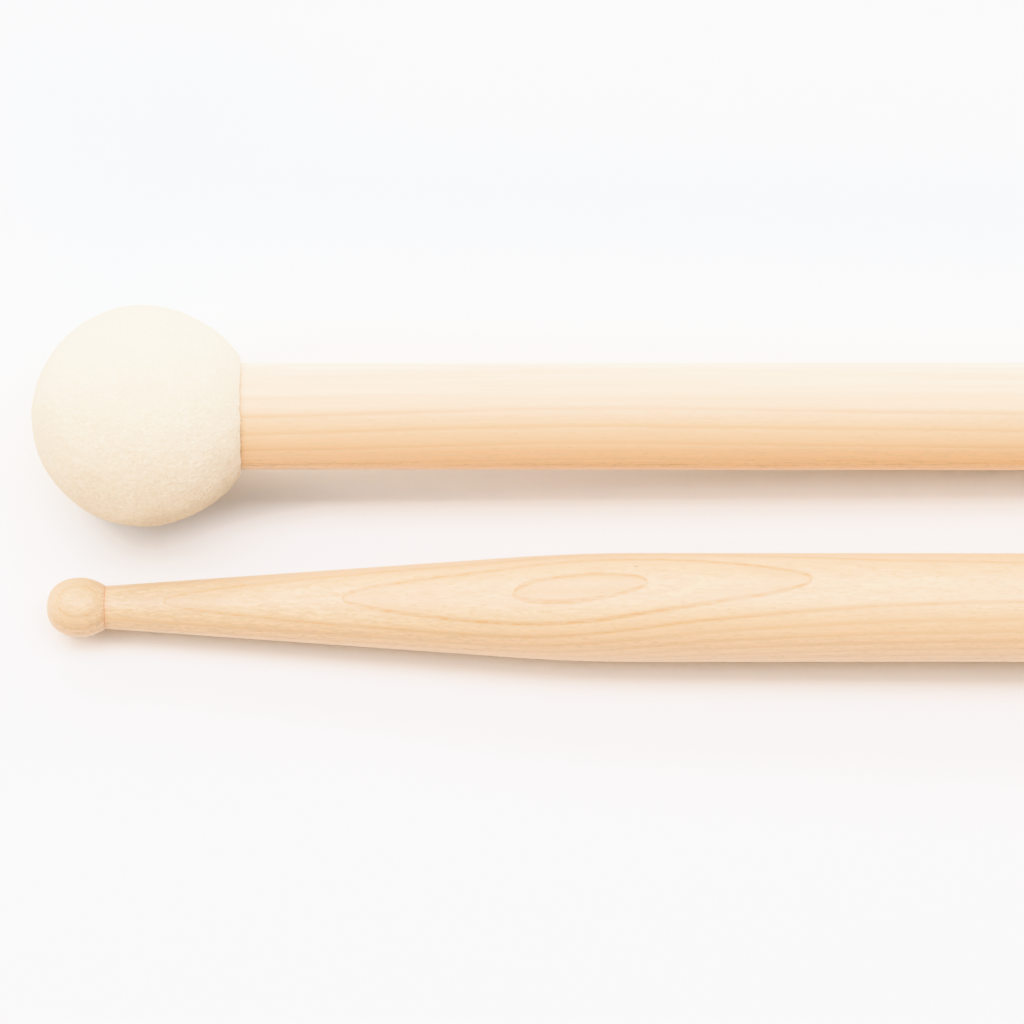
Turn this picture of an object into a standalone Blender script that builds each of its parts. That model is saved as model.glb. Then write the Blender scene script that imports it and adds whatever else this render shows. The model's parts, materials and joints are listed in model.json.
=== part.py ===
"""A matched pair of double-ended drum sticks, with a felt mallet head on each butt and a bead on each tip.

The sticks lie side by side and head to tail on the surface z = 0, each resting on its head and its shoulder.
Metres, +Z up, +X along the sticks, and the origin midway between them on the surface that they lie on.
Each stick is turned about its own axis: the centre of its head is the zero point, and its tip is at +Z.
"""

import math

import bpy

# The whole stick
STICK_LENGTH = 0.420  # from the crown of the felt head to the end of the bead
HEAD_DIAMETER = 0.0325
SHOULDER_DIAMETER = 0.0161  # the thickest place, where the tip's taper begins
BUTT_DIAMETER = 0.0157  # where the shaft enters the head

# The tip
BEAD_DIAMETER = 0.0088
BEAD_NOSE_LENGTH = 0.0051  # from the bead's end to its widest place
BEAD_BACK_LENGTH = 0.0036  # from its widest place to the crease behind it
NOSE_FULLNESS = 2.3  # 2 is an ellipse, and more is blunter
BACK_FULLNESS = 1.8
NECK_DIAMETER = 0.00635  # at the crease
TAPER_LENGTH = 0.0697  # from the crease to where the taper's line meets the shaft's
SHOULDER_EASE = 0.0096  # how far the rounding reaches each way from that corner

# The head: wooden core, wool underfelt, felt cover and the thread that draws its neck in
COVER_THICKNESS = 0.00265
UNDERFELT_THICKNESS = 0.0020
SPIGOT_DIAMETER = 0.010  # the shaft's reduced end, glued into the core
SPIGOT_CHAMFER = 0.0008
CORE_FLOOR = 0.0030  # wood left between the bottom of the core's bore and its surface
GLUE_ROOM = 0.0006  # between the spigot's end and the bottom of the bore
THREAD_DIAMETER = 0.0008
HEM_LIP = 0.0015  # felt above the thread's pocket, measured along the shaft

# How the pair lies
SIDE_GAP = 0.0039  # room left for a head beside the other stick's shoulder
END_OFFSET = 0.0017  # how far each bead stands in from the other stick's crown

CLEARANCE = 0.0003  # between pieces that touch
SEGMENTS = 24  # round every turned piece, so that the flats of nested pieces line up
RING_STEP = math.radians(10)
MERGE_DISTANCE = 0.000001

HEAD_RADIUS = HEAD_DIAMETER / 2
COVER_INNER_RADIUS = HEAD_RADIUS - COVER_THICKNESS
UNDERFELT_RADIUS = COVER_INNER_RADIUS - CLEARANCE
UNDERFELT_INNER_RADIUS = UNDERFELT_RADIUS - UNDERFELT_THICKNESS
CORE_RADIUS = UNDERFELT_INNER_RADIUS - CLEARANCE
OPENING_RADIUS = BUTT_DIAMETER / 2 + CLEARANCE  # of the neck through the felts, and of the core's seat
BORE_RADIUS = SPIGOT_DIAMETER / 2 + CLEARANCE

LIP_Z = math.sqrt(HEAD_RADIUS**2 - OPENING_RADIUS**2)
POCKET_TOP_Z = LIP_Z - HEM_LIP
POCKET_RADIUS = OPENING_RADIUS + THREAD_DIAMETER + CLEARANCE
SEAT_Z = math.sqrt(CORE_RADIUS**2 - OPENING_RADIUS**2)
BORE_BOTTOM_Z = CORE_FLOOR - math.sqrt(CORE_RADIUS**2 - BORE_RADIUS**2)
SPIGOT_END_Z = BORE_BOTTOM_Z + GLUE_ROOM

TIP_Z = STICK_LENGTH - HEAD_RADIUS
BEAD_Z = TIP_Z - BEAD_NOSE_LENGTH
CREASE_Z = BEAD_Z - BEAD_BACK_LENGTH
CORNER_Z = CREASE_Z - TAPER_LENGTH

AXIS_SPACING = HEAD_RADIUS + SHOULDER_DIAMETER / 2 + SIDE_GAP


def bead_nose(steps=6):
    """From the bead's end to its widest place."""
    points = []
    for step in range(steps):
        angle = math.pi / 2 * step / steps
        radius = BEAD_DIAMETER / 2 * math.sin(angle) ** (2 / NOSE_FULLNESS)
        height = BEAD_NOSE_LENGTH * math.cos(angle) ** (2 / NOSE_FULLNESS)
        points.append((radius, BEAD_Z + height))
    return points


def bead_back(steps=4):
    """From the bead's widest place to the crease, where it has come down to the neck's diameter."""
    drop = 1 - (NECK_DIAMETER / BEAD_DIAMETER) ** BACK_FULLNESS
    half_length = BEAD_BACK_LENGTH / drop ** (1 / BACK_FULLNESS)
    points = []
    for step in range(steps + 1):
        along = BEAD_BACK_LENGTH * step / steps
        share = 1 - (along / half_length) ** BACK_FULLNESS
        points.append((BEAD_DIAMETER / 2 * share ** (1 / BACK_FULLNESS), BEAD_Z - along))
    return points


def shoulder(steps=6):
    """The rounding between the straight taper and the shaft: a curve that touches both lines."""
    slope = (SHOULDER_DIAMETER - NECK_DIAMETER) / 2 / TAPER_LENGTH
    points = []
    for step in range(steps + 1):
        share = step / steps
        behind = SHOULDER_EASE * (2 * share - 1)
        radius = SHOULDER_DIAMETER / 2 - slope * SHOULDER_EASE * (1 - share) ** 2
        points.append((radius, CORNER_Z - behind))
    return points


def shaft_profile():
    """Down the outside of the stick, from the bead's end to the spigot's end."""
    butt_radius = BUTT_DIAMETER / 2
    spigot_radius = SPIGOT_DIAMETER / 2
    butt = [(butt_radius, HEAD_RADIUS), (butt_radius, SEAT_Z + CLEARANCE)]
    spigot = [
        (spigot_radius, SEAT_Z + CLEARANCE),
        (spigot_radius, SPIGOT_END_Z + SPIGOT_CHAMFER),
        (spigot_radius - SPIGOT_CHAMFER, SPIGOT_END_Z),
        (0, SPIGOT_END_Z),
    ]
    return bead_nose() + bead_back() + shoulder() + butt + spigot


def ball(radius, opening):
    """Down the outside of a ball, from the edge of the opening in its neck to its crown."""
    edge = math.asin(opening / radius)
    rings = [RING_STEP * number for number in range(1, round(math.pi / RING_STEP))]
    angles = [edge] + [angle for angle in rings if angle > edge + RING_STEP / 4]
    return [(radius * math.sin(angle), radius * math.cos(angle)) for angle in angles] + [(0, -radius)]


def cover_profile():
    """Up the inside of the felt, through the thread's pocket and the hem, and down the outside."""
    inside = ball(COVER_INNER_RADIUS, POCKET_RADIUS)[::-1]
    hem = [(POCKET_RADIUS, POCKET_TOP_Z), (OPENING_RADIUS, POCKET_TOP_Z)]
    return inside + hem + ball(HEAD_RADIUS, OPENING_RADIUS)


def underfelt_profile():
    return ball(UNDERFELT_INNER_RADIUS, OPENING_RADIUS)[::-1] + ball(UNDERFELT_RADIUS, OPENING_RADIUS)


def core_profile():
    """Up the bore for the spigot, across the seat for the shaft's end, and down the outside."""
    bore = [(0, BORE_BOTTOM_Z), (BORE_RADIUS, BORE_BOTTOM_Z), (BORE_RADIUS, SEAT_Z)]
    return bore + ball(CORE_RADIUS, OPENING_RADIUS)


def resting_tilt():
    """How far the tip dips when the head and the shaft both touch the surface, found by halving."""
    outline = [(radius, height) for radius, height in shaft_profile() if height > HEAD_RADIUS]
    level = 0.0
    steep = math.radians(30)
    while steep - level > math.radians(0.0001):
        tilt = (level + steep) / 2
        drop = max(height * math.sin(tilt) + radius * math.cos(tilt) for radius, height in outline)
        if drop > HEAD_RADIUS:
            steep = tilt
        else:
            level = tilt
    return level


def clear_scene():
    for thing in list(bpy.data.objects):
        bpy.data.objects.remove(thing)


def finish(name, colour, roughness):
    material = bpy.data.materials.new(name)
    material.use_nodes = True
    shader = material.node_tree.nodes["Principled BSDF"]
    shader.inputs["Base Color"].default_value = (*colour, 1)
    shader.inputs["Roughness"].default_value = roughness
    shader.inputs["Metallic"].default_value = 0
    return material


def add_to_stick(piece, material, stick, collection):
    piece.data.materials.append(material)
    piece.parent = stick
    for owner in list(piece.users_collection):
        owner.objects.unlink(piece)
    collection.objects.link(piece)


def turned(name, profile, material, stick, collection):
    """A piece turned on the stick's axis from a profile of (radius, height) points."""
    mesh = bpy.data.meshes.new(name)
    edges = [(number, number + 1) for number in range(len(profile) - 1)]
    mesh.from_pydata([(radius, 0, height) for radius, height in profile], edges, [])
    piece = bpy.data.objects.new(name, mesh)
    lathe = piece.modifiers.new("lathe", "SCREW")
    lathe.axis = "Z"
    lathe.steps = SEGMENTS
    lathe.render_steps = SEGMENTS
    lathe.use_merge_vertices = True
    lathe.merge_threshold = MERGE_DISTANCE
    add_to_stick(piece, material, stick, collection)


def neck_thread(name, material, stick, collection):
    """The waxed thread that lies in the pocket of the hem, round the shaft."""
    thread_radius = THREAD_DIAMETER / 2
    bpy.ops.mesh.primitive_torus_add(
        major_segments=SEGMENTS,
        minor_segments=8,
        major_radius=OPENING_RADIUS + thread_radius,
        minor_radius=thread_radius,
    )
    thread = bpy.context.object
    thread.name = name
    thread.location.z = POCKET_TOP_Z - CLEARANCE - thread_radius
    thread.data.shade_smooth()
    add_to_stick(thread, material, stick, collection)


def build_stick(name, materials, collection):
    stick = bpy.data.objects.new(name, None)
    collection.objects.link(stick)
    turned(f"{name}_shaft", shaft_profile(), materials["maple"], stick, collection)
    turned(f"{name}_head_core", core_profile(), materials["core"], stick, collection)
    turned(f"{name}_head_underfelt", underfelt_profile(), materials["underfelt"], stick, collection)
    turned(f"{name}_head_cover", cover_profile(), materials["cover"], stick, collection)
    neck_thread(f"{name}_neck_thread", materials["thread"], stick, collection)
    return stick


def lay_down(stick, side):
    """side is 1 for the stick at +Y, whose head is at -X, and -1 for the one turned end for end."""
    tilt = resting_tilt()
    reach = HEAD_RADIUS + TIP_Z * math.cos(tilt)
    head_x = HEAD_RADIUS - (reach + END_OFFSET) / 2
    stick.location = (side * head_x, side * AXIS_SPACING / 2, HEAD_RADIUS)
    turn = 0 if side > 0 else math.pi
    stick.rotation_euler = (0, math.pi / 2 + tilt, turn)


def main():
    clear_scene()
    collection = bpy.data.collections.new("drum_stick_pair")
    bpy.context.scene.collection.children.link(collection)
    materials = {
        "maple": finish("maple", (0.83, 0.66, 0.45), 0.38),
        "core": finish("core_wood", (0.62, 0.42, 0.24), 0.6),
        "underfelt": finish("underfelt", (0.70, 0.66, 0.58), 0.95),
        "cover": finish("felt_cover", (0.88, 0.82, 0.70), 0.95),
        "thread": finish("neck_thread", (0.80, 0.70, 0.52), 0.7),
    }
    lay_down(build_stick("stick_a", materials, collection), 1)
    lay_down(build_stick("stick_b", materials, collection), -1)


main()
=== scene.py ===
"""The looks of a matched pair of double-ended drum sticks: turned maple shafts and felt mallet heads.

A stick's own frame has the centre of its head at zero and its tip at +Z, as the turned solids have.
Pieces are modelled there, in metres, and laid down where the solids lie. Patterns are read in the same
frame, in millimetres.
"""

import json
import math

import bpy
from mathutils import Matrix, Vector

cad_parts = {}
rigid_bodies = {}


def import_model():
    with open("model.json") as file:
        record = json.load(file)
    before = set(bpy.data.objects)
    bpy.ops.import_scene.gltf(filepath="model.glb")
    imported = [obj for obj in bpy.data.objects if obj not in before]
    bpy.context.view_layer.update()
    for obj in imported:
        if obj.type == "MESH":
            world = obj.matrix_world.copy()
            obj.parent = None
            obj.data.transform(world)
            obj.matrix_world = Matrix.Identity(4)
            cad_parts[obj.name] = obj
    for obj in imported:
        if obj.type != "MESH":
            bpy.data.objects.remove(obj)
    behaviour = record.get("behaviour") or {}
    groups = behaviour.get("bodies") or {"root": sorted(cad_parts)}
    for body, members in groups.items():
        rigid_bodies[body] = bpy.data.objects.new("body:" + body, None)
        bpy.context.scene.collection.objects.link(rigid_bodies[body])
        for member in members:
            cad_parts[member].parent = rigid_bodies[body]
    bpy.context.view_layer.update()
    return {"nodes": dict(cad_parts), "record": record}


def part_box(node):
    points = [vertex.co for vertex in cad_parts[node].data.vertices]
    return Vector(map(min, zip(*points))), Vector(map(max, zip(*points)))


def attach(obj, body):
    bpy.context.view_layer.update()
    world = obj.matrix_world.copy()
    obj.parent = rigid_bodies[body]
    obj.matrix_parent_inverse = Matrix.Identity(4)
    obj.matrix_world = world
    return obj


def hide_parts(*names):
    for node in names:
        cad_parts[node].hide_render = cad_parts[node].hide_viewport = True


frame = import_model()

# The shaft, as it is turned
SHOULDER_DIAMETER = 0.0161
BUTT_DIAMETER = 0.0157
BEAD_DIAMETER = 0.0088
BEAD_NOSE_LENGTH = 0.0051
BEAD_BACK_LENGTH = 0.0036
NOSE_FULLNESS = 2.3
BACK_FULLNESS = 1.8
NECK_DIAMETER = 0.00635
TAPER_LENGTH = 0.0697
SHOULDER_EASE = 0.0096
SPIGOT_DIAMETER = 0.010
SPIGOT_CHAMFER = 0.0008
SHAFT_STEPS = 192  # round the shaft

# The felt head
COVER_THICKNESS = 0.00265
THREAD_DIAMETER = 0.0008
HEM_LIP = 0.0015
CLEARANCE = 0.0003
FELT_SNUG = 0.0001  # between the edge of the felt and the shaft
FELT_EDGE_RADIUS = 0.0005
NECK_SWELL = 0.00045  # how far the felt stands out beyond the ball where the thread draws it in
NECK_SWELL_REACH = math.radians(34)  # over this much of the ball
FELT_STEPS = 420  # round the head
FELT_RINGS = 200  # from the neck to the crown
FELT_RELIEF = {  # the size of each pattern that the felt's surface is raised by, and how far it raises it
    "head_lumps": (0.011, 0.0006),
    "felt_loft": (0.0020, 0.00014),
    "felt_clumps": (0.0006, 0.00014),
}
SECOND_HEAD_TURN = math.radians(140)  # so that the two heads don't show the same side

MM = 0.001
MERGE_DISTANCE = 0.0000005
SMOOTH_ANGLE = math.radians(35)


class Stick:
    """Where one stick lies, read from the frame, and the heights of its places along its own axis."""

    def __init__(self, name):
        self.name = name
        mounts = {mount["name"]: mount for mount in frame["record"]["mounts"]}
        self.axis = Vector(mounts[f"{name}_grip"]["axis"]).normalized()
        low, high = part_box(f"{name}_head_cover")
        self.head_radius = (high.y - low.y) / 2
        centre_x = low.x + self.head_radius if self.axis.x > 0 else high.x - self.head_radius
        self.centre = Vector((centre_x, (low.y + high.y) / 2, low.z + self.head_radius))
        across = Vector((0, math.copysign(1, self.axis.x), 0))
        down = across.cross(self.axis)
        turned = Matrix((down, across, self.axis)).transposed().to_4x4()
        self.matrix = Matrix.Translation(self.centre) @ turned
        shaft = frame["nodes"][f"{name}_shaft"].data.vertices
        heights = [(vertex.co - self.centre).dot(self.axis) for vertex in shaft]
        self.spigot_end = min(heights)
        self.bead = max(heights) - BEAD_NOSE_LENGTH
        self.crease = self.bead - BEAD_BACK_LENGTH
        self.corner = self.crease - TAPER_LENGTH


STICK_A = Stick("stick_a")
STICK_B = Stick("stick_b")


# Profiles, as (radius, height) points in a stick's own frame


def bead_nose(stick, steps=24):
    points = [(0, stick.bead + BEAD_NOSE_LENGTH)]
    for step in range(1, steps):
        angle = math.pi / 2 * step / steps
        radius = BEAD_DIAMETER / 2 * math.sin(angle) ** (2 / NOSE_FULLNESS)
        height = BEAD_NOSE_LENGTH * math.cos(angle) ** (2 / NOSE_FULLNESS)
        points.append((radius, stick.bead + height))
    return points


def bead_back(stick, steps=16):
    drop = 1 - (NECK_DIAMETER / BEAD_DIAMETER) ** BACK_FULLNESS
    half_length = BEAD_BACK_LENGTH / drop ** (1 / BACK_FULLNESS)
    points = []
    for step in range(steps + 1):
        along = BEAD_BACK_LENGTH * step / steps
        share = 1 - (along / half_length) ** BACK_FULLNESS
        points.append((BEAD_DIAMETER / 2 * share ** (1 / BACK_FULLNESS), stick.bead - along))
    return points


def taper(stick, steps=20):
    """The straight part, between the crease and the shoulder's rounding."""
    slope = (SHOULDER_DIAMETER - NECK_DIAMETER) / 2 / TAPER_LENGTH
    length = TAPER_LENGTH - SHOULDER_EASE
    alongs = [length * step / steps for step in range(1, steps)]
    return [(NECK_DIAMETER / 2 + slope * along, stick.crease - along) for along in alongs]


def shoulder(stick, steps=24):
    slope = (SHOULDER_DIAMETER - NECK_DIAMETER) / 2 / TAPER_LENGTH
    points = []
    for step in range(steps + 1):
        share = step / steps
        radius = SHOULDER_DIAMETER / 2 - slope * SHOULDER_EASE * (1 - share) ** 2
        points.append((radius, stick.corner - SHOULDER_EASE * (2 * share - 1)))
    return points


def butt(stick, seat, steps=40):
    """The long shaft, down to the shoulder of its spigot."""
    start = stick.corner - SHOULDER_EASE
    length = start - stick.head_radius
    slope = (SHOULDER_DIAMETER - BUTT_DIAMETER) / 2 / length
    alongs = [length * step / steps for step in range(1, steps + 1)]
    points = [(SHOULDER_DIAMETER / 2 - slope * along, start - along) for along in alongs]
    return points + [(BUTT_DIAMETER / 2, seat)]


def spigot(stick, seat):
    radius = SPIGOT_DIAMETER / 2
    end = stick.spigot_end
    return [(radius, seat), (radius, end + SPIGOT_CHAMFER), (radius - SPIGOT_CHAMFER, end), (0, end)]


def shaft_profile(stick):
    """Down the outside of the stick, from the bead's end to the spigot's end."""
    seat = spigot_seat(stick)
    tip = bead_nose(stick) + bead_back(stick) + taper(stick) + shoulder(stick)
    return tip + butt(stick, seat) + spigot(stick, seat)


def spigot_seat(stick):
    """The height of the shoulder where the shaft steps down to its spigot, read from the solid."""
    shaft = frame["nodes"][f"{stick.name}_shaft"].data.vertices
    places = [vertex.co - stick.centre for vertex in shaft]
    beyond = SPIGOT_DIAMETER / 2 + MM
    return min(place.dot(stick.axis) for place in places if place.cross(stick.axis).length > beyond)


def felt_edge(stick, opening, steps=8):
    """The rounding of the felt's cut edge, from the shaft up and out to the ball."""
    out = opening + FELT_EDGE_RADIUS
    reach = stick.head_radius + NECK_SWELL - FELT_EDGE_RADIUS
    height = math.sqrt(reach**2 - out**2)
    last = math.atan2(height, out)
    points = []
    for step in range(steps + 1):
        angle = math.pi + (last - math.pi) * step / steps
        radius = out + FELT_EDGE_RADIUS * math.cos(angle)
        points.append((radius, height + FELT_EDGE_RADIUS * math.sin(angle)))
    return points


def arc(radius, first, last, steps):
    """Points on a ball, between two angles from the stick's axis."""
    angles = [first + (last - first) * step / steps for step in range(steps + 1)]
    return [(radius * math.sin(angle), radius * math.cos(angle)) for angle in angles]


def felt_ball(stick, first):
    """Down the outside of the felt, from the neck, where it swells a little, to the crown."""
    points = []
    for step in range(1, FELT_RINGS):
        angle = first + (math.pi - first) * step / FELT_RINGS
        share = max(0.0, 1 - (angle - first) / NECK_SWELL_REACH)
        radius = stick.head_radius + NECK_SWELL * share**2 * (3 - 2 * share)
        points.append((radius * math.sin(angle), radius * math.cos(angle)))
    return points


def cover_profile(stick):
    """Up the inside of the felt, through its hem's pocket, round its cut edge and down the outside."""
    inner = stick.head_radius - COVER_THICKNESS
    loose = BUTT_DIAMETER / 2 + CLEARANCE
    snug = BUTT_DIAMETER / 2 + FELT_SNUG
    pocket = loose + THREAD_DIAMETER + CLEARANCE
    pocket_top = math.sqrt(stick.head_radius**2 - loose**2) - HEM_LIP
    inside = arc(inner, math.pi, math.asin(pocket / inner), 16)[1:]
    edge = felt_edge(stick, snug)
    outside = felt_ball(stick, math.atan2(*edge[-1]))
    hem = [(pocket, pocket_top), (snug, pocket_top)]
    return [(0, -inner)] + inside + hem + edge + outside + [(0, -stick.head_radius)]


# Modelling


def deselect():
    for thing in bpy.context.view_layer.objects:
        thing.select_set(False)


def drawn(name, profile):
    """A profile drawn point by point from one vertex, as an outline of edges, left in edit mode."""
    deselect()
    bpy.ops.mesh.primitive_plane_add(size=MM)
    piece = bpy.context.object
    piece.name = name
    piece.data.name = name
    bpy.ops.object.mode_set(mode="EDIT")
    bpy.ops.mesh.select_all(action="SELECT")
    bpy.ops.mesh.merge(type="CENTER")
    bpy.ops.transform.translate(value=(profile[0][0], 0, profile[0][1]))
    for (radius, height), (next_radius, next_height) in zip(profile, profile[1:]):
        move = (next_radius - radius, 0, next_height - height)
        bpy.ops.mesh.extrude_region_move(TRANSFORM_OT_translate={"value": move})
    return piece


def close_up():
    """Merges the seam and the poles of what is in edit mode, and points its faces outwards."""
    bpy.ops.mesh.select_all(action="SELECT")
    bpy.ops.mesh.remove_doubles(threshold=MERGE_DISTANCE)
    bpy.ops.mesh.normals_make_consistent(inside=False)
    bpy.ops.object.mode_set(mode="OBJECT")


def spun(name, profile, steps):
    """A closed piece, spun round the stick's axis from its profile."""
    piece = drawn(name, profile)
    bpy.ops.mesh.select_all(action="SELECT")
    bpy.ops.mesh.spin(steps=steps, angle=math.tau, center=(0, 0, 0), axis=(0, 0, 1))
    close_up()
    return piece


def finely_turned(name, profile, steps):
    """The same by a modifier, which is much quicker where the steps are many."""
    piece = drawn(name, profile)
    bpy.ops.object.mode_set(mode="OBJECT")
    lathe = piece.modifiers.new("lathe", "SCREW")
    lathe.steps = steps
    lathe.render_steps = steps
    keep_modifiers(piece)
    bpy.ops.object.mode_set(mode="EDIT")
    close_up()
    return piece


def lay_down(piece, stick, turn=0.0):
    """Moves a piece from the stick's own frame to where the stick lies, and leaves that in its mesh."""
    deselect()
    piece.select_set(True)
    bpy.context.view_layer.objects.active = piece
    piece.matrix_world = stick.matrix @ Matrix.Rotation(turn, 4, "Z")
    bpy.ops.object.transform_apply(location=True, rotation=True, scale=True)


def copied(piece, name):
    """The same piece again, with its own mesh."""
    twin = piece.copy()
    twin.data = piece.data.copy()
    twin.name = name
    twin.data.name = name
    bpy.context.scene.collection.objects.link(twin)
    return twin


def keep_modifiers(piece):
    deselect()
    piece.select_set(True)
    bpy.context.view_layer.objects.active = piece
    for modifier in list(piece.modifiers):
        bpy.ops.object.modifier_apply(modifier=modifier.name)


def roughen(piece, name, size, strength, group):
    """Moves the felt's outside in and out by a cloudy pattern of the given size."""
    texture = bpy.data.textures.new(name, "CLOUDS")
    texture.noise_scale = size
    texture.noise_depth = 2
    modifier = piece.modifiers.new(name, "DISPLACE")
    modifier.texture = texture
    modifier.texture_coords = "LOCAL"
    modifier.strength = strength
    modifier.mid_level = 0.5
    modifier.vertex_group = group


def felt_cover(name, stick):
    """The felt, with the loft, clumps and nap of its surface raised on the outside only."""
    piece = finely_turned(name, cover_profile(stick), FELT_STEPS)
    inner = stick.head_radius - COVER_THICKNESS / 2
    outside = piece.vertex_groups.new(name="outside")
    surface = [vertex.index for vertex in piece.data.vertices if vertex.co.length > inner]
    outside.add(surface, 1.0, "REPLACE")
    for relief, (size, strength) in FELT_RELIEF.items():
        roughen(piece, relief, size, strength, outside.name)
    keep_modifiers(piece)
    bpy.ops.object.shade_smooth()
    return piece


def shaft(name, stick):
    """The turned shaft, smooth but for its crease and its spigot's edges."""
    piece = spun(name, shaft_profile(stick), SHAFT_STEPS)
    bpy.ops.object.shade_smooth_by_angle(angle=SMOOTH_ANGLE)
    return piece


# Materials


def add(tree, kind, inputs=(), **settings):
    """A node with its settings and inputs. An input is a value or another node's output."""
    made = tree.nodes.new(kind)
    for name, value in settings.items():
        setattr(made, name, value)
    for name, value in dict(inputs).items():
        if isinstance(value, bpy.types.NodeSocket):
            tree.links.new(value, made.inputs[name])
        else:
            made.inputs[name].default_value = value
    return made


def maths(tree, operation, *values, clamp=False):
    made = add(tree, "ShaderNodeMath", enumerate(values), operation=operation, use_clamp=clamp)
    return made.outputs[0]


def ramp(tree, value, *stops):
    """A colour ramp. A stop is its position and its grey value or colour."""
    made = add(tree, "ShaderNodeValToRGB", {"Fac": value})
    elements = made.color_ramp.elements
    while len(elements) < len(stops):
        elements.new(1.0)
    for element, (position, colour) in zip(elements, stops):
        element.position = position
        element.color = (*colour, 1) if isinstance(colour, tuple) else (colour, colour, colour, 1)
    return made.outputs["Color"]


def mix(tree, share, first, second):
    """Two colours, either of which may be a plain one."""
    made = add(tree, "ShaderNodeMix", data_type="RGBA", blend_type="MIX")
    factor, a, b = (made.inputs[number] for number in (0, 6, 7))
    for socket, value in ((factor, share), (a, first), (b, second)):
        if isinstance(value, bpy.types.NodeSocket):
            tree.links.new(value, socket)
        else:
            socket.default_value = (*value, 1) if isinstance(value, tuple) else value
    return made.outputs[2]


def noise(tree, place, scale, detail=2.0, roughness=0.5, distortion=0.0):
    return add(tree, "ShaderNodeTexNoise", {
        "Vector": place, "Scale": scale, "Detail": detail, "Roughness": roughness, "Distortion": distortion,
    }).outputs["Fac"]


def stretched(tree, place, scale):
    inputs = {"Vector": place, "Scale": scale}
    return add(tree, "ShaderNodeMapping", inputs, vector_type="POINT").outputs[0]


def drawn_out(tree, place, across, along, **settings):
    """A noise with its own scale across the stick and along it."""
    return noise(tree, stretched(tree, place, (across, across, along)), 1.0, **settings)


def part_of(tree, vector, letter):
    return add(tree, "ShaderNodeSeparateXYZ", {"Vector": vector}).outputs[letter]


def length_of(tree, vector):
    return add(tree, "ShaderNodeVectorMath", {0: vector}, operation="LENGTH").outputs["Value"]


def carried(tree, value, start, end, curve="LINEAR"):
    """A value carried from one range to another, and kept inside it."""
    return add(tree, "ShaderNodeMapRange", {
        "Value": value, "From Min": start[0], "From Max": start[1], "To Min": end[0], "To Max": end[1],
    }, interpolation_type=curve).outputs["Result"]


def new_material(name):
    material = bpy.data.materials.new(name)
    material.use_nodes = True
    shader = material.node_tree.nodes["Principled BSDF"]
    return material, material.node_tree, shader


def roughen_surface(tree, shader, raised, strength, distance):
    """Bump from a pattern, for what is finer than the mesh."""
    bump = add(tree, "ShaderNodeBump", {"Strength": strength, "Distance": distance, "Height": raised})
    tree.links.new(bump.outputs["Normal"], shader.inputs["Normal"])


def stick_place(tree, stick):
    """Places in the stick's own frame, in millimetres."""
    coordinates = add(tree, "ShaderNodeTexCoord").outputs["Object"]
    inputs = {
        "Vector": coordinates,
        "Location": stick.centre,
        "Rotation": stick.matrix.to_euler(),
        "Scale": (MM, MM, MM),
    }
    return add(tree, "ShaderNodeMapping", inputs, vector_type="TEXTURE").outputs[0]


# How the rings of the tree cross each stick. Angles turn the rings' face from straight up, about the axis.
# Lean is how much a ring comes up towards the surface for each millimetre along the stick. Twist and climb
# give the stretch, from the corner of the taper towards the butt, in which the rings turn and in which
# they rise further. The first ring is tight mm deep, and the others are wide mm. Wander and ripple are
# their slow and quick waves. Line is how dark the rings' lines are, and faded is how much all marks
# weaken where the stick faces the bark. The tone_and_painted_light colours go from the pith's side, at 0,
# to the bark's side, at 1, which faces the top of the view and the lights on both sticks. They are the
# maple's tone with painted light in it: paler and lighter on the lit top, more saturated on the shaded
# underside, and on stick B a painted lower edge to the highlight. A pin mark lies so many millimetres along
# the stick and so many degrees round it.
GRAIN_A = {
    "tip_angle": -62, "butt_angle": -80, "twist": (-18, 22),
    "lean": 0.0126, "rise": -2.3, "climb": (250, 330),
    "first_ring": -3.47, "tight": 2.6, "wide": 2.6, "wander": 0.35, "ripple": 0.24,
    "line": 0.42, "faded": 0.95, "pin": (46.4, -4),
    "tone_and_painted_light": (
        (0.0, (0.95, 0.66, 0.40)),
        (0.24, (0.92, 0.62, 0.35)),
        (0.5, (0.90, 0.69, 0.465)),
        (1.0, (0.84, 0.79, 0.70)),
    ),
}
GRAIN_B = {
    "tip_angle": 15, "butt_angle": 32, "twist": (-18, 22),
    "lean": 0.0125, "rise": 1.85, "climb": (-8, 50),
    "first_ring": 7.49, "tight": 1.44, "wide": 1.51, "wander": 0.12, "ripple": 0.12,
    "line": 1.0, "faded": -0.6, "pin": (316.5, -49),
    "tone_and_painted_light": (
        (0.5, (0.83, 0.655, 0.485)),
        (0.84, (0.91, 0.665, 0.42)),
        (0.94, (0.99, 0.80, 0.55)),
        (1.0, (1.0, 0.82, 0.585)),
    ),
}

PATCH_COLOUR = (0.80, 0.58, 0.38)
EARLY_WOOD_COLOUR = (0.94, 0.76, 0.56)
DARK_YEAR_COLOUR = (0.74, 0.53, 0.34)
STREAK_COLOUR = (0.68, 0.49, 0.32)
RING_LINE_COLOUR = (0.53, 0.325, 0.155)
BAND_COLOUR = (0.56, 0.40, 0.25)
FIBRE_COLOUR = (0.56, 0.425, 0.29)
RAY_FLECK_COLOUR = (0.55, 0.405, 0.255)
PIN_MARK_COLOUR = (0.24, 0.16, 0.11)
# The next two are painted shade: in the crease, and a painted shadow along the felt's edge
CREASE_SHADE_COLOUR = (0.50, 0.22, 0.10)
FELT_EDGE_SHADOW_COLOUR = (0.40, 0.24, 0.12)


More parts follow.
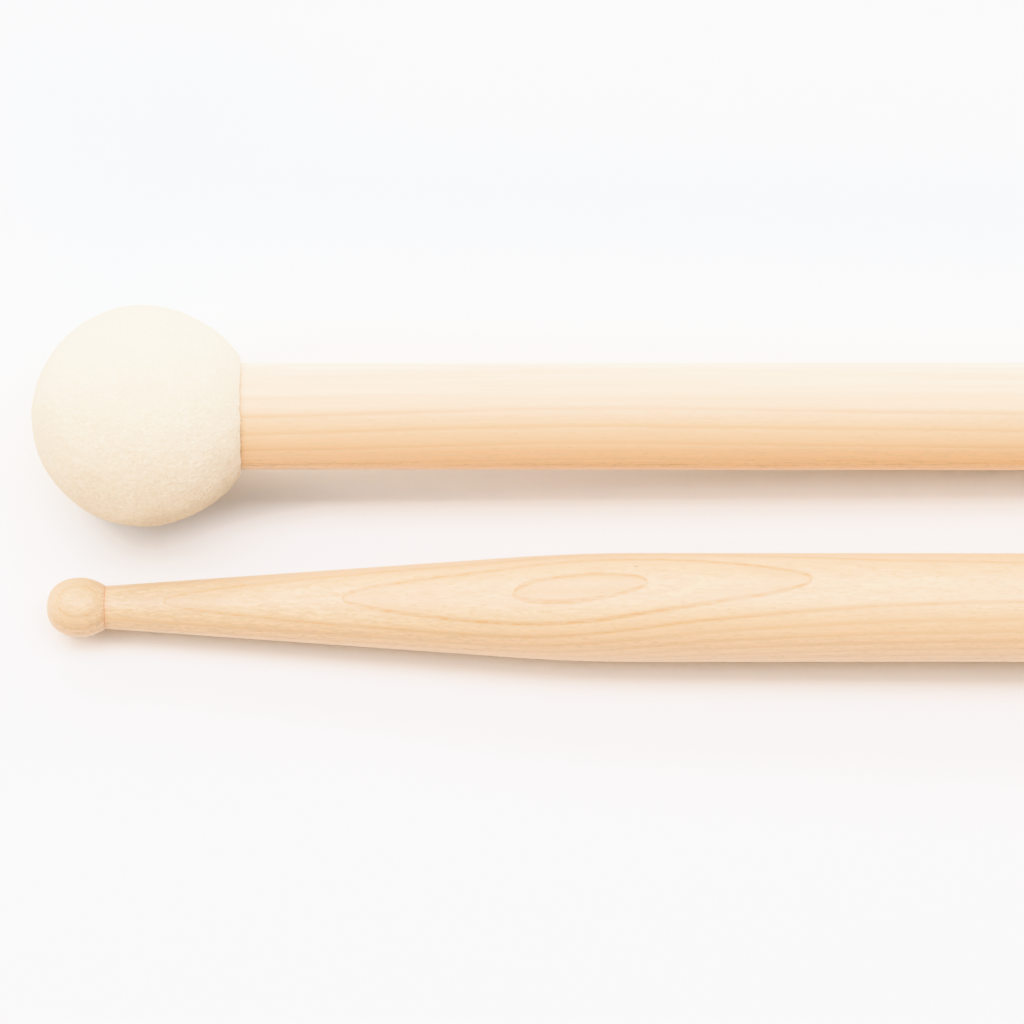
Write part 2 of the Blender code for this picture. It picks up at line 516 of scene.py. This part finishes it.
def ring_level(tree, place, behind, grain):
    """How far a place lies towards the bark. That way turns where the taper becomes the shaft."""
    angles = [-math.radians(grain[end]) for end in ("tip_angle", "butt_angle")]
    twist = carried(tree, behind, grain["twist"], angles, "SMOOTHSTEP")
    inputs = {"Vector": place, "Angle": twist}
    turned = add(tree, "ShaderNodeVectorRotate", inputs, rotation_type="Z_AXIS").outputs[0]
    return maths(tree, "MULTIPLY", part_of(tree, turned, "X"), -1.0)


def ring_depth(tree, behind, level, slow, quick, grain):
    """How deep a place lies under the first ring's face, in millimetres, with the rings' waves in it."""
    rise = carried(tree, behind, grain["climb"], (0.0, grain["rise"]), "SMOOTHSTEP")
    lean = maths(tree, "MULTIPLY_ADD", behind, grain["lean"], rise)
    depth = maths(tree, "SUBTRACT", grain["first_ring"], maths(tree, "SUBTRACT", level, lean))
    for wave, height in ((slow, grain["wander"]), (quick, grain["ripple"])):
        depth = maths(tree, "MULTIPLY_ADD", maths(tree, "SUBTRACT", wave, 0.5), height, depth)
    return depth


def rings_passed(tree, depth, grain):
    """Counts the rings down to a depth. The whole part is the year, and the rest is the share of it."""
    tight = maths(tree, "DIVIDE", depth, grain["tight"])
    wide = maths(tree, "MULTIPLY_ADD", depth, 1 / grain["wide"], 1 - grain["tight"] / grain["wide"])
    return maths(tree, "MINIMUM", tight, wide)


def late_wood(tree, share, facing, grain):
    """The line that ends a year, as wide where the surface grazes the ring as where it cuts across."""
    square = maths(tree, "MULTIPLY", facing, facing)
    steepness = maths(tree, "SQRT", maths(tree, "SUBTRACT", 1.001, square, clamp=True))
    before = maths(tree, "SUBTRACT", 1.0, share)
    after = maths(tree, "MULTIPLY", share, 3.0)
    off_line = maths(tree, "MULTIPLY", maths(tree, "MINIMUM", before, after), grain["tight"])
    off_line = maths(tree, "DIVIDE", off_line, steepness)
    thin = ramp(tree, off_line, (0.0, 1.0), (0.24, 0.90), (0.62, 0.22), (1.0, 0.0))
    shade = ramp(tree, share, (0.45, 0.0), (0.90, 0.20), (1.0, 0.26))
    return maths(tree, "MAXIMUM", thin, shade)


def year_lines(tree, late, year, inner, grain):
    """How dark each line is: the first rings' are the darkest."""
    weight = maths(tree, "MAXIMUM", maths(tree, "MULTIPLY_ADD", year, -0.34, 0.94), 0.36)
    marked = maths(tree, "MULTIPLY", maths(tree, "MULTIPLY", late, inner), weight)
    return maths(tree, "MULTIPLY", marked, grain["line"], clamp=True)


def fine_bands(tree, depth, quick):
    """The narrow wavy bands between the lines."""
    swirl = maths(tree, "MULTIPLY_ADD", depth, 13.0, maths(tree, "MULTIPLY", quick, 9.0))
    wave = maths(tree, "MULTIPLY_ADD", maths(tree, "SINE", swirl), 0.5, 0.5)
    return ramp(tree, wave, (0.55, 0.0), (1.0, 0.20))


def pin_mark(tree, place, grain):
    """A small dark knot, drawn out along the stick."""
    along, round_axis = grain["pin"]
    radius = SHOULDER_DIAMETER / 2 / MM
    angle = math.radians(round_axis)
    pin = (-radius * math.cos(angle), radius * math.sin(angle), along)
    off_pin = add(tree, "ShaderNodeVectorMath", {0: place, 1: pin}, operation="SUBTRACT").outputs[0]
    away = length_of(tree, stretched(tree, off_pin, (5.0, 5.0, 2.0)))
    return ramp(tree, away, (0.6, 0.9), (1.0, 0.0))


# Painted shade: the shaft is darkened in the crease behind the bead
def crease_shade(tree, height, stick):
    off_crease = maths(tree, "ABSOLUTE", maths(tree, "SUBTRACT", height, stick.crease / MM))
    return ramp(tree, off_crease, (0.03, 0.60), (0.16, 0.16), (1.3, 0.0))


def felt_edge_shadow(tree, height, fleck, stick):
    """A ragged painted shadow on the shaft along the felt's edge, where the felt shades it."""
    edge = felt_edge(stick, BUTT_DIAMETER / 2 + FELT_SNUG)[0][1] / MM
    off_felt = maths(tree, "MULTIPLY_ADD", fleck, -0.8, maths(tree, "SUBTRACT", height, edge))
    return ramp(tree, off_felt, (0.0, 0.55), (0.35, 0.12), (0.9, 0.0))


def maple(name, stick, grain):
    """Lacquered hard maple: rings, fibres, ray flecks, and painted shade in the crease and by the felt's
    edge.
    """
    material, tree, shader = new_material(name)
    place = stick_place(tree, stick)
    height = part_of(tree, place, "Z")
    behind = maths(tree, "SUBTRACT", stick.corner / MM, height)

    slow = drawn_out(tree, place, 0.11, 0.022, detail=1.0)
    quick = drawn_out(tree, place, 0.6, 0.09, detail=2.0)
    fibre = drawn_out(tree, place, 5.0, 0.2, detail=4.0, roughness=0.6, distortion=0.5)
    streak = drawn_out(tree, place, 1.3, 0.035, detail=3.0, roughness=0.6)
    broad = drawn_out(tree, place, 0.16, 0.014, detail=2.0)
    fleck = drawn_out(tree, place, 3.6, 0.9, detail=2.0, distortion=0.4)

    level = ring_level(tree, place, behind, grain)
    depth = ring_depth(tree, behind, level, slow, quick, grain)
    rings = rings_passed(tree, depth, grain)
    year = maths(tree, "FLOOR", rings)
    share = maths(tree, "FRACT", rings)
    early = ramp(tree, share, (0.0, 1.0), (0.10, 0.85), (0.34, 0.0))
    tone = add(tree, "ShaderNodeTexWhiteNoise", {"W": year}, noise_dimensions="1D").outputs["Value"]

    radius = length_of(tree, stretched(tree, place, (1, 1, 0)))
    facing = maths(tree, "DIVIDE", level, radius)
    outer = maths(tree, "MULTIPLY_ADD", facing, 0.5, 0.5, clamp=True)
    inner = maths(tree, "MULTIPLY_ADD", ramp(tree, outer, (0.55, 0.0), (0.80, 1.0)), -grain["faded"], 1.0)
    cut_across = ramp(tree, maths(tree, "MULTIPLY", radius, 0.1), (0.40, 1.6), (0.78, 1.0))
    fades = maths(tree, "MULTIPLY", inner, cut_across)
    late = late_wood(tree, share, facing, grain)

    layers = [
        (ramp(tree, broad, (0.30, 0.30), (0.70, 0.0)), PATCH_COLOUR),
        (maths(tree, "MULTIPLY", early, 0.30), EARLY_WOOD_COLOUR),
        (maths(tree, "MULTIPLY", tone, 0.16), DARK_YEAR_COLOUR),
        (ramp(tree, streak, (0.42, 0.0), (0.72, 0.30)), STREAK_COLOUR),
        (year_lines(tree, late, year, inner, grain), RING_LINE_COLOUR),
        (maths(tree, "MULTIPLY", fine_bands(tree, depth, quick), fades), BAND_COLOUR),
        (maths(tree, "MULTIPLY", ramp(tree, fibre, (0.36, 0.58), (0.58, 0.0)), fades), FIBRE_COLOUR),
        (maths(tree, "MULTIPLY", ramp(tree, fleck, (0.48, 0.0), (0.70, 0.66)), fades), RAY_FLECK_COLOUR),
        (pin_mark(tree, place, grain), PIN_MARK_COLOUR),
        # Painted shade in the crease behind the bead
        (crease_shade(tree, height, stick), CREASE_SHADE_COLOUR),
        # A painted shadow on the shaft along the felt's edge
        (felt_edge_shadow(tree, height, fleck, stick), FELT_EDGE_SHADOW_COLOUR),
    ]
    # Painted light: this ramp makes the lit top paler and lighter and the shaded underside more saturated
    colour = ramp(tree, outer, *grain["tone_and_painted_light"])
    for layer_share, layer_colour in layers:
        colour = mix(tree, layer_share, colour, layer_colour)

    tree.links.new(colour, shader.inputs["Base Color"])
    tree.links.new(maths(tree, "MULTIPLY_ADD", fibre, 0.10, 0.42), shader.inputs["Roughness"])
    shader.inputs["Specular IOR Level"].default_value = 0.35
    shader.inputs["Coat Weight"].default_value = 0.30
    shader.inputs["Coat Roughness"].default_value = 0.24
    raised = maths(tree, "SUBTRACT", fibre, maths(tree, "MULTIPLY", fleck, 0.6))
    roughen_surface(tree, shader, raised, 0.5, 0.00003)
    return material


COVER_DARK = (0.79, 0.68, 0.51)
COVER_LIGHT = (1.0, 0.935, 0.82)
UNDERFELT_DARK = (0.55, 0.51, 0.44)
UNDERFELT_LIGHT = (0.74, 0.70, 0.62)
SPECK_COLOUR = (0.30, 0.19, 0.12)


def stray_specks(tree, place):
    """A few small dark specks, each in the middle of a cell."""
    cells = add(tree, "ShaderNodeTexVoronoi", {"Vector": place, "Scale": 0.30, "Randomness": 1.0})
    chosen = maths(tree, "GREATER_THAN", part_of(tree, cells.outputs["Color"], "X"), 0.6)
    near = ramp(tree, cells.outputs["Distance"], (0.03, 1.0), (0.05, 0.0))
    return maths(tree, "MULTIPLY", maths(tree, "MULTIPLY", near, chosen), 0.7)


def felt(name, stick, dark, light, clump):
    """Wool felt: matted clumps, fine fibres on them and a few stray dark ones, and painted shade on one
    side.
    """
    material, tree, shader = new_material(name)
    place = stick_place(tree, stick)
    clumps = noise(tree, place, clump, detail=3.0, roughness=0.6, distortion=0.6)
    fibres = noise(tree, place, clump * 2.6, detail=2.0, roughness=0.6, distortion=2.2)
    broad = noise(tree, place, 0.16, detail=2.0)
    # Painted shade: darker and more mottled towards the head's own -Y side, the lower side away from the
    # light on stick A; on stick B that side faces up
    painted_shade_side = carried(tree, part_of(tree, place, "Y"), (-15.0, 9.0), (0.90, 0.14))

    colour = light
    for marks in (
        ramp(tree, clumps, (0.34, 1.0), (0.64, 0.0)),
        ramp(tree, fibres, (0.38, 0.9), (0.52, 0.0)),
        ramp(tree, broad, (0.40, 0.4), (0.62, 0.0)),
    ):
        colour = mix(tree, maths(tree, "MULTIPLY", marks, painted_shade_side), colour, dark)
    colour = mix(tree, stray_specks(tree, place), colour, SPECK_COLOUR)

    tree.links.new(colour, shader.inputs["Base Color"])
    shader.inputs["Roughness"].default_value = 0.95
    shader.inputs["Specular IOR Level"].default_value = 0.2
    shader.inputs["Sheen Weight"].default_value = 0.30
    shader.inputs["Sheen Roughness"].default_value = 0.45
    shader.inputs["Sheen Tint"].default_value = (1.0, 0.93, 0.82, 1)
    roughen_surface(tree, shader, maths(tree, "MULTIPLY_ADD", fibres, 0.5, clumps), 1.0, 0.0003)
    return material


def raw_wood(name, stick):
    """The unfinished turned core inside a head, with rings across it."""
    material, tree, shader = new_material(name)
    place = stick_place(tree, stick)
    bands = add(tree, "ShaderNodeTexWave", {
        "Vector": place, "Scale": 0.22, "Distortion": 1.6, "Detail": 2.0, "Detail Scale": 0.6,
    }, wave_type="BANDS", bands_direction="Y").outputs["Fac"]
    fibre = drawn_out(tree, place, 4.0, 0.25, detail=3.0)
    colour = ramp(tree, bands, (0.1, (0.62, 0.42, 0.24)), (0.9, (0.74, 0.54, 0.34)))
    colour = mix(tree, ramp(tree, fibre, (0.40, 0.4), (0.60, 0.0)), colour, (0.52, 0.34, 0.19))
    tree.links.new(colour, shader.inputs["Base Color"])
    shader.inputs["Roughness"].default_value = 0.7
    roughen_surface(tree, shader, fibre, 0.3, 0.00005)
    return material


def waxed_thread(name, stick):
    """Twisted thread: its plies cross it at a slant all the way round the neck."""
    material, tree, shader = new_material(name)
    place = stick_place(tree, stick)
    plies = add(tree, "ShaderNodeTexWave", {
        "Vector": place, "Scale": 1.4, "Distortion": 0.4, "Detail": 1.0,
    }, wave_type="BANDS", bands_direction="DIAGONAL").outputs["Fac"]
    colour = ramp(tree, plies, (0.15, (0.50, 0.38, 0.22)), (0.7, (0.82, 0.71, 0.52)))
    tree.links.new(colour, shader.inputs["Base Color"])
    shader.inputs["Roughness"].default_value = 0.5
    roughen_surface(tree, shader, plies, 0.8, 0.0001)
    return material


def wear(piece, material):
    piece.data.materials.clear()
    piece.data.materials.append(material)


def refinish(node, material):
    """A kept solid gets its finish on every one of its material slots."""
    for holder in frame["nodes"][node].material_slots:
        holder.material = material


# The pair


def dress(stick, shaft_piece, cover_piece, grain, turn):
    """Lays a stick's two visible pieces down, gives all five their finish, and ties them to the frame."""
    name = stick.name
    lay_down(shaft_piece, stick)
    lay_down(cover_piece, stick, turn)
    wear(shaft_piece, maple(f"{name}_maple", stick, grain))
    wear(cover_piece, felt(f"{name}_felt", stick, COVER_DARK, COVER_LIGHT, 1.7))
    refinish(f"{name}_head_core", raw_wood(f"{name}_core_wood", stick))
    underfelt = felt(f"{name}_underfelt", stick, UNDERFELT_DARK, UNDERFELT_LIGHT, 1.1)
    refinish(f"{name}_head_underfelt", underfelt)
    refinish(f"{name}_neck_thread", waxed_thread(f"{name}_thread", stick))
    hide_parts(f"{name}_shaft")
    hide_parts(f"{name}_head_cover")
    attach(shaft_piece, name)
    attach(cover_piece, name)


def make_pair():
    shaft_a = shaft("stick_a_turned_shaft", STICK_A)
    cover_a = felt_cover("stick_a_felt_cover", STICK_A)
    shaft_b = copied(shaft_a, "stick_b_turned_shaft")
    cover_b = copied(cover_a, "stick_b_felt_cover")
    dress(STICK_A, shaft_a, cover_a, GRAIN_A, 0.0)
    dress(STICK_B, shaft_b, cover_b, GRAIN_B, SECOND_HEAD_TURN)


# The studio

CAMERA_HEIGHT = 1.5
CAMERA_LENS = 355.0
CAMERA_FROM_SHOULDER = -0.00957  # along X, from the corner of stick B's taper
FLOOR_SIZE = 12.0


def make_camera():
    """Straight above the left end of the pair, with the top of the view towards +Y."""
    data = bpy.data.cameras.new("camera")
    data.lens = CAMERA_LENS
    camera = bpy.data.objects.new("camera", data)
    corner = STICK_B.centre + STICK_B.axis * STICK_B.corner
    camera.location = (corner.x + CAMERA_FROM_SHOULDER, 0, CAMERA_HEIGHT)
    bpy.context.scene.collection.objects.link(camera)
    bpy.context.scene.camera = camera


def make_floor():
    deselect()
    bpy.ops.mesh.primitive_plane_add(size=FLOOR_SIZE, location=(0, 0, 0))
    floor = bpy.context.object
    floor.name = "floor"
    material, tree, shader = new_material("white_table")
    shader.inputs["Base Color"].default_value = (0.90, 0.90, 0.90, 1)
    shader.inputs["Roughness"].default_value = 0.8
    shader.inputs["Specular IOR Level"].default_value = 0.2
    wear(floor, material)


LIGHT_DISTANCE = 1.4
LIGHT_AIM = Vector((-0.12, 0, 0))
# Each soft light: how high it stands and how far round from +Y, in degrees, its size, power and colour
SOFT_LIGHTS = {
    "window_low": (36, 0, (1.6, 0.36), 25.7, (0.95, 0.985, 1.0)),
    "window_high": (68, 0, (1.6, 0.36), 24.3, (0.88, 0.93, 1.0)),
    "overhead": (84, 0, (1.6, 0.36), 6.2, (0.87, 0.93, 1.0)),
    "left_fill": (45, -70, (1.0, 0.8), 10.2, (0.97, 0.98, 1.0)),
    "front_bounce": (30, 180, (1.6, 0.36), 8.5, (1.0, 0.72, 0.46)),
}
ROOM_STRENGTH = 0.17
ROOM_COLOUR = (1.0, 0.66, 0.48)


def soft_light(name, elevation, round_from_y, size, power, colour):
    data = bpy.data.lights.new(name, "AREA")
    data.shape = "RECTANGLE"
    data.size, data.size_y = size
    data.energy = power
    data.color = colour
    light = bpy.data.objects.new(name, data)
    rise = math.radians(elevation)
    turn = math.radians(round_from_y)
    away = Vector((math.cos(rise) * math.sin(turn), math.cos(rise) * math.cos(turn), math.sin(rise)))
    light.location = LIGHT_AIM + LIGHT_DISTANCE * away
    light.rotation_euler = (-away).to_track_quat("-Z", "Y").to_euler()
    light.visible_camera = False
    bpy.context.scene.collection.objects.link(light)


def make_light():
    world = bpy.data.worlds.new("studio")
    world.use_nodes = True
    background = world.node_tree.nodes["Background"]
    background.inputs["Color"].default_value = (*ROOM_COLOUR, 1)
    background.inputs["Strength"].default_value = ROOM_STRENGTH
    bpy.context.scene.world = world
    for name, settings in SOFT_LIGHTS.items():
        soft_light(name, *settings)
    bpy.context.scene.view_settings.view_transform = "Khronos PBR Neutral"


make_camera()
make_pair()
make_floor()
make_light()
